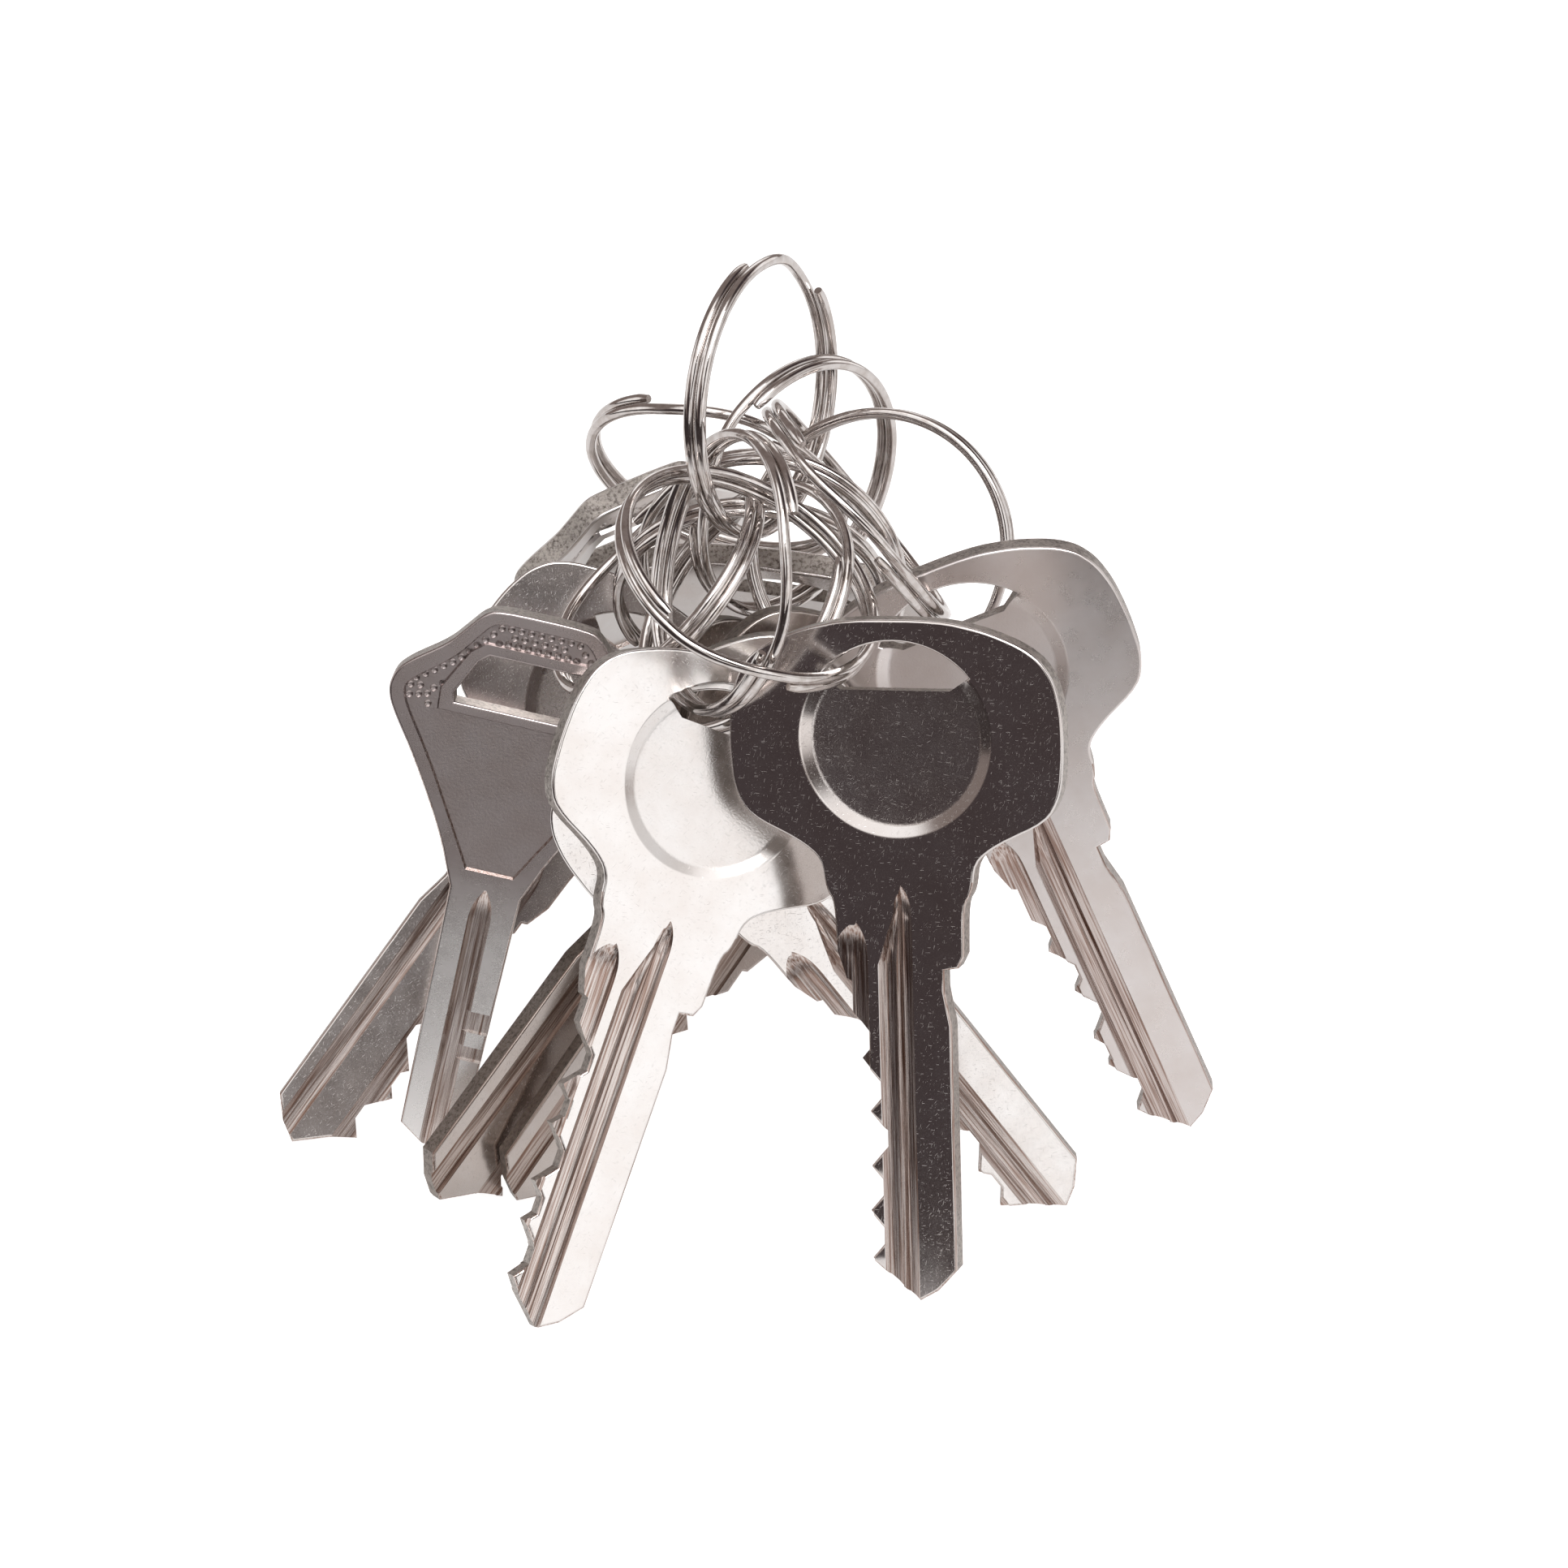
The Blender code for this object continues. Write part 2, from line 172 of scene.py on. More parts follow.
# The floor as the keys mirror it: a dark card in this direction (degrees from the front, to the
# right), from this far out (metres) to where it is full.
CARD_WAY = -30.0
CARD_NEAR = 0.07
CARD_FULL = 0.13
FLOOR_CARD = (0.045, 0.036, 0.036)
FLOOR_GLOW = 0.42
FLOOR_LIFT = 0.48
FLOOR_HALF = 3.0
SOFTBOX_WATTS = 4.0
SOFTBOX_AT = (0.12, -0.35, 0.75)
SOFTBOX_AIM = (0.0, 0.0, 0.03)
# The camera's place in millimetres, its angle above the horizon in degrees, and its focal length.
CAMERA_AT = (3.28, -402.12, 252.07)
CAMERA_ELEVATION = 29.0
LENS = 121.1
ROOM = (0.26, 0.215, 0.20)
PANEL = (1.25, 1.23, 1.22)
CARD = (0.066, 0.051, 0.053)
WORLD_PATCHES = (
    # azimuth to the right of the camera, elevation, full inside, none outside (degrees), colour
    (46, 16, 22, 32, PANEL),
    (-95, 12, 14, 26, PANEL),
    (128, 14, 12, 22, PANEL),
    (180, 24, 10, 18, PANEL),
    (-30, 74, 16, 28, (1.7, 1.68, 1.66)),
    (-34, 50, 15, 25, PANEL),
    (46, 46, 14, 24, PANEL),
    (82, 22, 12, 22, (0.8, 0.78, 0.77)),
    (118, 52, 12, 24, CARD),
    (13, 30, 11, 19, (0.075, 0.06, 0.057)),
    (-13, 30, 7, 14, PANEL),
    (-34, 5, 17, 25, CARD),
    (-1, 6, 7, 13, PANEL),
)


# ---------------------------------------------------------------- where the CAD pieces are
def corners(node):
    """All corners of a CAD node, in millimetres."""
    mesh = frame["nodes"][node].data
    co = np.empty(len(mesh.vertices) * 3, np.float32)
    mesh.vertices.foreach_get("co", co)
    return co.reshape(-1, 3).astype(float) / MM


def flats(node):
    """The directions of a CAD node's flat walls, each with its area and how far out it lies."""
    mesh = frame["nodes"][node].data
    found = []
    for face in mesh.polygons:
        area = face.area / MM ** 2
        if area < 0.01:
            continue
        n = np.array(face.normal)
        d = float(np.dot(n, np.array(face.center))) / MM
        for group in found:
            if np.dot(group[0], n) > 0.9998 and abs(group[2] - d) < 0.05:
                group[1] += area
                break
        else:
            found.append([n, area, d])
    return found


def longest_way(node):
    """The direction in which a CAD node's surface reaches furthest."""
    faces = frame["nodes"][node].data.polygons
    areas = np.array([face.area for face in faces])
    centres = np.array([face.center[:] for face in faces])
    middle = (areas[:, None] * centres).sum(0) / areas.sum()
    spread = (centres - middle).T @ (areas[:, None] * (centres - middle))
    return np.linalg.eigh(spread)[1][:, 2]


def key_axes(node):
    """Across, along, face and the tip's place of a key, read from its solid."""
    points = corners(node)
    walls = flats(node)
    face = max(walls, key=lambda g: g[1])[0]
    side_walls = [g for g in walls if abs(np.dot(g[0], face)) < 0.02]
    middle = points.mean(0)
    if node in BITTINGS:
        across = max(side_walls, key=lambda g: g[1])[0]
        along = np.cross(face, across)
        reach = (points - middle) @ along
        wide = np.abs((points - middle) @ across)
        if wide[reach > 0.5 * reach.max()].max() < wide[reach < 0.5 * reach.min()].max():
            along = -along
    else:
        long_way = longest_way(node)
        ends = [g for g in side_walls if abs(np.dot(g[0], long_way)) > 0.97]
        along = max(ends, key=lambda g: g[1])[0]
        heights = points @ face
        mid = (heights.max() + heights.min()) / 2
        steps = sum((1 if g[2] > mid else -1) * g[1] for g in walls
                    if abs(abs(np.dot(g[0], face)) - 1) < 0.001
                    and abs(abs(g[2] * np.sign(np.dot(g[0], face)) - mid) - 0.6) < 0.04)
        if steps < 0:
            face = -face
        across = np.cross(along, face)
    across = across / np.linalg.norm(across)
    along = along - across * np.dot(along, across)
    along = along / np.linalg.norm(along)
    face = np.cross(across, along)
    span = [points @ axis for axis in (across, along, face)]
    if node in BITTINGS:
        x = span[0][span[1] < span[1].min() + 24].max() - BLADE_EDGE
    else:
        x = (span[0].max() + span[0].min()) / 2
    tip = across * x + along * span[1].min() + face * (span[2].max() + span[2].min()) / 2
    return across, along, face, tip


def ring_axes(node):
    """Centre, mean radius, in-plane directions and normal of a split ring, read from its solid.

    The first direction points at the wire's ends, where the corners are missing on one side. The
    corners far from it give the plane and the circle, and each round finds the direction again.
    """
    points = corners(node)
    centre = points.mean(0)
    keep = np.ones(len(points), bool)
    for _ in range(4):
        normal = np.linalg.svd(points[keep] - points[keep].mean(0))[2][2]
        first = np.cross(normal, (0.0, 0.0, 1.0))
        first = first / np.linalg.norm(first)
        second = np.cross(normal, first)
        flat = np.column_stack((points @ first, points @ second))
        fit = np.column_stack((2 * flat, np.ones(len(flat))))
        cx, cy, c = np.linalg.lstsq(fit, (flat ** 2).sum(1), rcond=None)[0]
        level = (points[keep] @ normal).mean()
        centre = first * cx + second * cy + normal * level
        rim = points - centre
        opening = -(rim @ first).mean() * first - (rim @ second).mean() * second
        opening = opening / np.linalg.norm(opening)
        cosine = (rim @ opening) / np.linalg.norm(rim, axis=1)
        keep = cosine < math.cos(math.radians(45))
    radius = np.linalg.norm(rim - np.outer(rim @ normal, normal), axis=1)
    return centre, (radius.max() + radius.min()) / 2, opening, np.cross(normal, opening), normal


# ---------------------------------------------------------------- mesh helpers
def mesh_object(name, points, faces):
    """A new object from points in millimetres, with its faces turned outwards."""
    mesh = bpy.data.meshes.new(name)
    mesh.from_pydata([Vector(p) * MM for p in points], [], faces)
    work = bmesh.new()
    work.from_mesh(mesh)
    bmesh.ops.recalc_face_normals(work, faces=work.faces)
    work.to_mesh(mesh)
    work.free()
    obj = bpy.data.objects.new(name, mesh)
    bpy.context.scene.collection.objects.link(obj)
    return obj


def turned_left(loop):
    """The loop, reversed if need be so that its inside is on the left."""
    area = sum(a[0] * b[1] - b[0] * a[1] for a, b in zip(loop, loop[1:] + loop[:1]))
    return list(loop) if area > 0 else list(reversed(loop))


def inset(loop, distance):
    """Each corner moved to its left, so that both its edges move by the same distance."""
    moved = []
    count = len(loop)
    for i in range(count):
        a, b, c = (Vector(loop[(i + k) % count]) for k in (-1, 0, 1))
        u = (b - a).normalized()
        v = (c - b).normalized()
        n = Vector((-u.y, u.x))
        m = Vector((-v.y, v.x))
        step = (n + m) / max(1 + n.dot(m), 0.35)
        moved.append(tuple(b + step * distance))
    return moved


def rounded_plate(name, outline, half, holes=(), edge=EDGE):
    """A flat plate whose edges are rounded over on both faces."""
    loops = [turned_left(list(outline))] + [list(reversed(turned_left(list(h)))) for h in holes]
    rows = []
    for i in range(EDGE_STEPS + 1):
        a = math.pi / 2 * i / EDGE_STEPS
        rows.append((edge * (1 - math.sin(a)), half - edge * (1 - math.cos(a))))
    rows = rows + [(d, -z) for d, z in reversed(rows)]
    points = []
    layers = []
    for distance, z in rows:
        layer = []
        for loop in loops:
            start = len(points)
            points.extend((x, y, z) for x, y in inset(loop, distance))
            layer.append((start, len(loop)))
        layers.append(layer)
    faces = []
    for low, high in zip(layers, layers[1:]):
        for (a, n), (b, _) in zip(low, high):
            for i in range(n):
                j = (i + 1) % n
                faces.append((a + i, a + j, b + j, b + i))
    for layer in (layers[0], layers[-1]):
        rings = [[Vector((*points[s + i][:2], 0)) for i in range(n)] for s, n in layer]
        index = [s + i for s, n in layer for i in range(n)]
        faces.extend(tuple(index[i] for i in tri) for tri in tessellate_polygon(rings))
    return mesh_object(name, points, faces)


def softened(loop, rounds=2):
    """Corner cutting that keeps both ends."""
    for _ in range(rounds):
        new = [loop[0]]
        for a, b in zip(loop, loop[1:]):
            new.append((a[0] * 0.78 + b[0] * 0.22, a[1] * 0.78 + b[1] * 0.22))
            new.append((a[0] * 0.22 + b[0] * 0.78, a[1] * 0.22 + b[1] * 0.78))
        new.append(loop[-1])
        loop = new
    return loop


def mirrored(side):
    """The other half of a symmetric outline."""
    return [(-x, y) for x, y in reversed(side)]


def bitting_edge(depths):
    """The cut edge of a blade from the shoulder to the tip."""
    at = [FIRST_CUT - CUT_PITCH * i for i in range(len(depths))]
    deep = [0.5 + CUT_STEP * d for d in depths]
    half = CUT_FLAT / 2
    edge = [(-BLADE_EDGE, at[0] + half + deep[0] / CUT_SLOPE)]
    for i, (y, depth) in enumerate(zip(at, deep)):
        edge.append((-BLADE_EDGE + depth, y + half))
        edge.append((-BLADE_EDGE + depth, y - half))
        if i + 1 < len(at):
            gap = (y - half) - (at[i + 1] + half)
            fall = (gap + (depth - deep[i + 1]) / CUT_SLOPE) / 2
            fall = min(max(fall, 0.15), gap - 0.15)
            edge.append((-BLADE_EDGE + max(depth - CUT_SLOPE * fall, 0.0), y - half - fall))
    edge.append((-BLADE_EDGE + max(deep[-1] - 1.1, 0.3), at[-1] - half - 1.3))
    edge.append((-1.5, 2.2))
    return edge


def lathe(name, centre, profile, level, up, sides=96):
    """A round cutter turned about an axis square to the face."""
    points = [(centre[0], centre[1], level + up * profile[0][1])]
    for radius, z in profile[1:]:
        for i in range(sides):
            a = 2 * math.pi * (i + 0.5) / sides
            x = centre[0] + radius * math.cos(a)
            y = centre[1] + radius * math.sin(a)
            points.append((x, y, level + up * z))
    faces = [(0, 1 + i, 1 + (i + 1) % sides) for i in range(sides)]
    for row in range(len(profile) - 2):
        a = 1 + row * sides
        for i in range(sides):
            j = (i + 1) % sides
            faces.append((a + i, a + j, a + j + sides, a + i + sides))
    faces.append(tuple(1 + (len(profile) - 2) * sides + i for i in range(sides)))
    return mesh_object(name, points, faces)


def milled(name, section, full, end, pivot, level, up, blunt=4.0):
    """A groove cutter that runs from below the tip and rises out of the face between two places.

    section: (x, depth) from one side to the other, depth measured down from the face. Where it rises,
    the section also draws together towards the pivot's x: in a straight point where blunt is 1, and
    more and more rounded above that.
    """
    deepest = max(d for _, d in section)
    stations = [(-1.5, 0.0)]
    for i in range(RUN_OUT_STEPS + 1):
        share = math.sin(math.pi / 2 * i / RUN_OUT_STEPS)
        stations.append((full + (end - full) * share, share))
    points = []
    for y, share in stations:
        rise = (deepest + 0.03) * share ** 4
        narrow = 1 - 0.95 * share ** blunt
        for x, depth in section:
            points.append((pivot + (x - pivot) * narrow, y, level - up * (depth - rise)))
        for x, _ in (section[-1], section[0]):
            points.append((pivot + (x - pivot) * narrow, y, level + up * 1.5))
    n = len(section) + 2
    faces = [tuple(range(n)), tuple(range((len(stations) - 1) * n, len(stations) * n))]
    for s in range(len(stations) - 1):
        for i in range(n):
            j = (i + 1) % n
            faces.append((s * n + i, s * n + j, s * n + j + n, s * n + i + n))
    return mesh_object(name, points, faces)


def cut(body, tools):
    """Boolean all cutters out of the body and apply the result."""
    for i, tool in enumerate(tools):
        step = body.modifiers.new(f"cut_{i}", "BOOLEAN")
        step.operation = "DIFFERENCE"
        step.solver = "EXACT"
        step.object = tool
    graph = bpy.context.evaluated_depsgraph_get()
    mesh = bpy.data.meshes.new_from_object(body.evaluated_get(graph))
    body.modifiers.clear()
    old = body.data
    body.data = mesh
    bpy.data.meshes.remove(old)
    for tool in tools:
        bpy.data.objects.remove(tool, do_unlink=True)
    work = bmesh.new()
    work.from_mesh(mesh)
    bmesh.ops.remove_doubles(work, verts=work.verts, dist=0.000012)
    bmesh.ops.dissolve_degenerate(work, edges=work.edges, dist=0.00001)
    bmesh.ops.dissolve_limit(work, angle_limit=math.radians(0.4), verts=work.verts, edges=work.edges)
    work.to_mesh(mesh)
    work.free()
    return body


def smooth(obj, angle):
    """Smooth shading with edges kept sharp above an angle in degrees."""
    obj.data.shade_smooth()
    obj.data.set_sharp_from_angle(angle=math.radians(angle))
    even = obj.modifiers.new("even_normals", "WEIGHTED_NORMAL")
    even.keep_sharp = True
    even.weight = 90


# ---------------------------------------------------------------- materials
def new_material(name):
    mat = bpy.data.materials.new(name)
    mat.use_nodes = True
    return mat, mat.node_tree.nodes, mat.node_tree.links, mat.node_tree.nodes["Principled BSDF"]


def own_millimetres(nodes, links, scale=(1, 1, 1), turn=0.0):
    """The piece's own coordinates in millimetres, stretched and turned in its face's plane."""
    place = nodes.new("ShaderNodeTexCoord")
    unit = nodes.new("ShaderNodeMapping")
    unit.vector_type = "POINT"
    unit.inputs["Scale"].default_value = [s / MM for s in scale]
    turned = nodes.new("ShaderNodeVectorRotate")
    turned.rotation_type = "Z_AXIS"
    turned.inputs["Angle"].default_value = math.radians(turn)
    links.new(place.outputs["Object"], turned.inputs["Vector"])
    links.new(turned.outputs["Vector"], unit.inputs["Vector"])
    return unit.outputs["Vector"]


def ramp(nodes, links, source, stops):
    """A colour ramp over a factor, from (place, colour) pairs."""
    made = nodes.new("ShaderNodeValToRGB")
    items = made.color_ramp.elements
    while len(items) < len(stops):
        items.new(0.5)
    for item, (at, colour) in zip(items, stops):
        item.position = at
        item.color = (*colour, 1.0)
    links.new(source, made.inputs["Fac"])
    return made.outputs["Color"]


def grey(v):
    return (v, v, v)


def toned(colour, tone):
    return tuple(c * k for c, k in zip(colour, tone))


def noise(nodes, links, vector, scale, detail=2.0, rough=0.5):
    made = nodes.new("ShaderNodeTexNoise")
    made.inputs["Scale"].default_value = scale
    made.inputs["Detail"].default_value = detail
    made.inputs["Roughness"].default_value = rough
    links.new(vector, made.inputs["Vector"])
    return made.outputs["Fac"]


def math_node(nodes, links, kind, a, b):
    made = nodes.new("ShaderNodeMath")
    made.operation = kind
    for i, v in enumerate((a, b)):
        if isinstance(v, (int, float)):
            made.inputs[i].default_value = v
        else:
            links.new(v, made.inputs[i])
    return made.outputs[0]


def moved(nodes, links, vector, by):
    """Coordinates shifted, so that each key's marks differ."""
    shift = nodes.new("ShaderNodeVectorMath")
    shift.operation = "ADD"
    shift.inputs[1].default_value = by
    links.new(vector, shift.inputs[0])
    return shift.outputs[0]


def bump(nodes, links, height, strength, distance, under=None):
    """A bump node, on top of another one's normal if that is given."""
    made = nodes.new("ShaderNodeBump")
    made.inputs["Strength"].default_value = strength
    made.inputs["Distance"].default_value = distance
    links.new(height, made.inputs["Height"])
    if under:
        links.new(under.outputs["Normal"], made.inputs["Normal"])
    return made


def hairlines(nodes, links, turn, seed, threshold):
    """Sparse straight scratches in one direction, each a few hundredths of a millimetre wide."""
    vector = own_millimetres(nodes, links, (26.0, 1.5, 1.0), turn)
    fine = noise(nodes, links, moved(nodes, links, vector, (seed * 3.7, seed * 1.9, seed)), 1.0, 0.0, 0.4)
    return ramp(nodes, links, fine, [(threshold, grey(0)), (threshold + 0.03, grey(1))])


def specks(nodes, links, vector, scale, size):
    """Small round pits scattered over the face."""
    cells = nodes.new("ShaderNodeTexVoronoi")
    cells.feature = "F1"
    cells.inputs["Scale"].default_value = scale
    cells.inputs["Randomness"].default_value = 1.0
    links.new(vector, cells.inputs["Vector"])
    return ramp(nodes, links, cells.outputs["Distance"], [(size * 0.6, grey(1)), (size, grey(0))])


def painted_lighter_blade(nodes, links, tint, painted_blade_tone):
    """Painted light: the bow's colour goes over into a paler one where the blade begins, standing in for the
    lighter reflection on the blade.
    """
    height = nodes.new("ShaderNodeSeparateXYZ")
    links.new(own_millimetres(nodes, links), height.inputs["Vector"])
    share = nodes.new("ShaderNodeMapRange")
    share.inputs["From Min"].default_value = PAINTED_LIGHT_FROM
    share.inputs["From Max"].default_value = PAINTED_LIGHT_TO
    links.new(height.outputs["Y"], share.inputs["Value"])
    blend = nodes.new("ShaderNodeMix")
    blend.data_type = "RGBA"
    links.new(share.outputs["Result"], blend.inputs[0])
    links.new(tint, blend.inputs[6])
    blend.inputs[7].default_value = (*painted_blade_tone, 1.0)
    return blend.outputs[2]


def nickel(name, colour, roughness, wear, grain=0.0, seed=1.0, blade=None):
    """Worn nickel plate: cloudy tone, specks, fine hairlines each way, slight waviness. Where a blade colour
    is given, the blade is painted paler than the bow, standing in for its lighter reflection.
    """
    mat, nodes, links, shader = new_material(name)
    plain = moved(nodes, links, own_millimetres(nodes, links), (seed * 5.1, seed * 2.3, seed * 0.7))
    cloud = noise(nodes, links, plain, 0.16 + 0.01 * seed, 4.0, 0.6)
    dark = toned(colour, (CLOUD_TONE, CLOUD_TONE * 0.97, CLOUD_TONE * 0.95))
    tint = ramp(nodes, links, cloud, [(0.35, dark), (0.65, colour)])
    # painted light: the blade goes over into a paler colour than the bow, standing in for its lighter
    # reflection
    if blade:
        tint = painted_lighter_blade(nodes, links, tint, blade)
    links.new(tint, shader.inputs["Base Color"])
    shader.inputs["Metallic"].default_value = 1.0
    marks = hairlines(nodes, links, 12 + 31 * seed, seed, 0.80)
    marks = math_node(nodes, links, "ADD", marks, hairlines(nodes, links, 74 + 17 * seed, seed + 5, 0.80))
    marks = math_node(nodes, links, "ADD", marks, hairlines(nodes, links, 2 + 9 * seed, seed + 9, 0.79))
    dots = specks(nodes, links, plain, 1.9, 0.075)
    dots = math_node(nodes, links, "ADD", dots, specks(nodes, links, plain, 4.6, 0.13))
    dust = noise(nodes, links, plain, 0.45, 3.0, 0.6)
    dusty = ramp(nodes, links, dust, [(0.42, grey(0.15)), (0.62, grey(1))])
    dots = math_node(nodes, links, "MULTIPLY", dots, dusty)
    worn = math_node(nodes, links, "MULTIPLY", math_node(nodes, links, "ADD", marks, dots), wear)
    worn = math_node(nodes, links, "MINIMUM", worn, 1.0)
    haze = noise(nodes, links, plain, 6.0, 3.0, 0.75)
    haze = ramp(nodes, links, haze, [(0.45, grey(0)), (0.75, grey(1))])
    rough = math_node(nodes, links, "MULTIPLY", noise(nodes, links, plain, 0.5, 3.0, 0.6), 0.10)
    rough = math_node(nodes, links, "ADD", rough, roughness - 0.05)
    rough = math_node(nodes, links, "ADD", rough, math_node(nodes, links, "MULTIPLY", haze, 0.07 * wear))
    rough = math_node(nodes, links, "ADD", rough, math_node(nodes, links, "MULTIPLY", worn, 0.24))
    links.new(rough, shader.inputs["Roughness"])
    last = bump(nodes, links, noise(nodes, links, plain, 0.22, 2.0, 0.4), 0.14, 0.00006)
    last = bump(nodes, links, worn, 0.22, 0.00002, last)
    last.invert = True
    if grain:
        last = bump(nodes, links, noise(nodes, links, plain, 5.0, 3.0, 0.6), grain, 0.00005, last)
    links.new(last.outputs["Normal"], shader.inputs["Normal"])
    return mat


def milled_metal(name, colour, roughness):
    """Metal with tool marks that run along the blade: real in their roughness and bumps, while their brown
    colour is a painted reflection of brown surroundings.
    """
    mat, nodes, links, shader = new_material(name)
    streak = noise(nodes, links, own_millimetres(nodes, links, (7.0, 0.12, 7.0)), 1.0, 3.0, 0.6)
    # painted reflection: the streaks darken to brown, standing in for the brown surroundings that the
    # grooves mirror; the tool marks' bumps and roughness are real
    streak_reflected_brown = toned(colour, (0.44, 0.32, 0.27))
    links.new(ramp(nodes, links, streak, [(0.36, streak_reflected_brown), (0.56, colour)]), shader.inputs["Base Color"])
    shader.inputs["Metallic"].default_value = 1.0
    rough = math_node(nodes, links, "ADD", math_node(nodes, links, "MULTIPLY", streak, 0.2), roughness - 0.1)
    links.new(rough, shader.inputs["Roughness"])
    links.new(bump(nodes, links, streak, 0.5, 0.00004).outputs["Normal"], shader.inputs["Normal"])
    return mat


def sheared_metal(name, colour, roughness):
    """The granular, partly torn edge that a stamped blank has."""
    mat, nodes, links, shader = new_material(name)
    plain = own_millimetres(nodes, links)
    grain = noise(nodes, links, plain, 2.6, 5.0, 0.8)
    dark = toned(colour, (0.22, 0.198, 0.187))
    tint = ramp(nodes, links, grain, [(0.36, dark), (0.55, colour)])
    links.new(tint, shader.inputs["Base Color"])
    shader.inputs["Metallic"].default_value = 1.0
    rough = math_node(nodes, links, "ADD", math_node(nodes, links, "MULTIPLY", grain, 0.3), roughness - 0.15)
    links.new(rough, shader.inputs["Roughness"])
    links.new(bump(nodes, links, grain, 0.9, 0.00012).outputs["Normal"], shader.inputs["Normal"])
    return mat


def wire_metal(name, colour, roughness, seed):
    """Bright plated spring wire with faint drawing marks and a few dull spots."""
    mat, nodes, links, shader = new_material(name)
    plain = own_millimetres(nodes, links)
    patch = noise(nodes, links, plain, 0.7 + 0.05 * seed, 3.0, 0.6)
    dark = toned(colour, (0.8, 0.768, 0.744))
    links.new(ramp(nodes, links, patch, [(0.35, dark), (0.6, colour)]), shader.inputs["Base Color"])
    shader.inputs["Metallic"].default_value = 1.0
    spots = ramp(nodes, links, noise(nodes, links, plain, 3.0, 2.0, 0.7), [(0.62, grey(0)), (0.72, grey(1))])
    rough = math_node(nodes, links, "ADD", math_node(nodes, links, "MULTIPLY", patch, 0.1), roughness - 0.05)
    rough = math_node(nodes, links, "ADD", rough, math_node(nodes, links, "MULTIPLY", spots, 0.12))
    links.new(rough, shader.inputs["Roughness"])
    dents = bump(nodes, links, noise(nodes, links, plain, 1.6, 2.0, 0.5), 0.18, 0.00003)
    links.new(dents.outputs["Normal"], shader.inputs["Normal"])
    return mat


# ---------------------------------------------------------------- keys
def disc_key(name, depths):
    """A cylinder key with a round dish and a hole in its bow, and grooves on both faces."""
    bow = softened(list(BOW_SIDE) + mirrored(BOW_SIDE))
    outline = list(TIP_SIDE) + bow + list(FRONT_SIDE) + bitting_edge(depths)
    hole = [(-4.6, HOLE_CHORD), (4.6, HOLE_CHORD)]
    for i in range(21):
        a = math.radians(40 + 5 * i)
        hole.append((DISH_CENTRE[0] + HOLE_RADIUS * math.cos(a), DISH_CENTRE[1] + HOLE_RADIUS * math.sin(a)))
    body = rounded_plate(name, outline, DISC_HALF, [hole])
    tools = [
        lathe("dish_front", DISH_CENTRE, DISH_PROFILE, DISC_HALF, 1),
        lathe("dish_back", DISH_CENTRE, DISH_PROFILE, -DISC_HALF, -1),
        milled("centre_groove", CENTRE_GROOVE, 31.5, 35.4, 0.15, DISC_HALF, 1),
        milled("left_groove", LEFT_GROOVE, 28.6, 34.6, 0.1, DISC_HALF, 1, 1.0),
        milled("edge_groove", EDGE_GROOVE, 28.0, 32.2, -3.7, DISC_HALF, 1),
        milled("back_groove", BACK_GROOVE, 28.0, 33.0, -2.4, -DISC_HALF, -1),
        milled("back_groove_2", BACK_GROOVE_2, 28.5, 33.5, 2.3, -DISC_HALF, -1),
    ]
    cut(body, tools)
    smooth(body, 32)
    return body


def stands_alone(place, others):
    """Whether a pit at this place would touch none of the others."""
    return all(math.dist(place, other) > 2.1 * DIMPLE_RADIUS for other in others)


def dimple_places():
    """Three rows that follow the bow's edge, on the sunk field between the outer rim and the window."""
    places = []
    for row in range(3):
        walk = [
            (0.0, 46.9 - row * 0.66), (3.3, 46.9 - row * 0.66), (4.9 - row * 0.35, 45.2 - row * 0.5),
            (6.6 - row * 0.3, 43.2 - row * 0.55), (10.0 - row * 0.75, 40.7 - row * 0.35),
            (9.9 - row * 0.85, 38.9),
        ]
        for step in range(DIMPLES_IN_ROW):
            left = (step + 0.5 * (row % 2)) * DIMPLE_PITCH
            for a, b in zip(walk, walk[1:]):
                run = math.dist(a, b)
                if left <= run:
                    x = a[0] + (b[0] - a[0]) * left / run
                    y = a[1] + (b[1] - a[1]) * left / run
                    both = ((x, y), (-x, y)) if x > DIMPLE_PITCH / 3 else ((0.0, y),)
                    places.extend(p for p in both if stands_alone(p, places))
                    break
                left -= run
    return places


def dimples(name, level, up):
    """All the small round pits of one face, as one cutter."""
    points = []
    faces = []
    rings = 3
    sides = DIMPLE_SIDES
    radius = DIMPLE_RADIUS
    for x, y in dimple_places():
        start = len(points)
        points.append((x, y, level - up * DIMPLE_DEPTH))
        for r in range(1, rings + 1):
            a = math.pi / 2 * r / rings
            for i in range(sides):
                b = 2 * math.pi * i / sides
                out = radius * math.sin(a)
                z = level - up * (DIMPLE_DEPTH * math.cos(a) - 0.02)
                points.append((x + out * math.cos(b), y + out * math.sin(b), z))
        for i in range(sides):
            j = (i + 1) % sides
            faces.append((start, start + 1 + i, start + 1 + j))
            for r in range(rings - 1):
                a = start + 1 + r * sides
                faces.append((a + i, a + j, a + j + sides, a + i + sides))
        faces.append(tuple(start + 1 + (rings - 1) * sides + i for i in range(sides)))
    return mesh_object(name, points, faces)


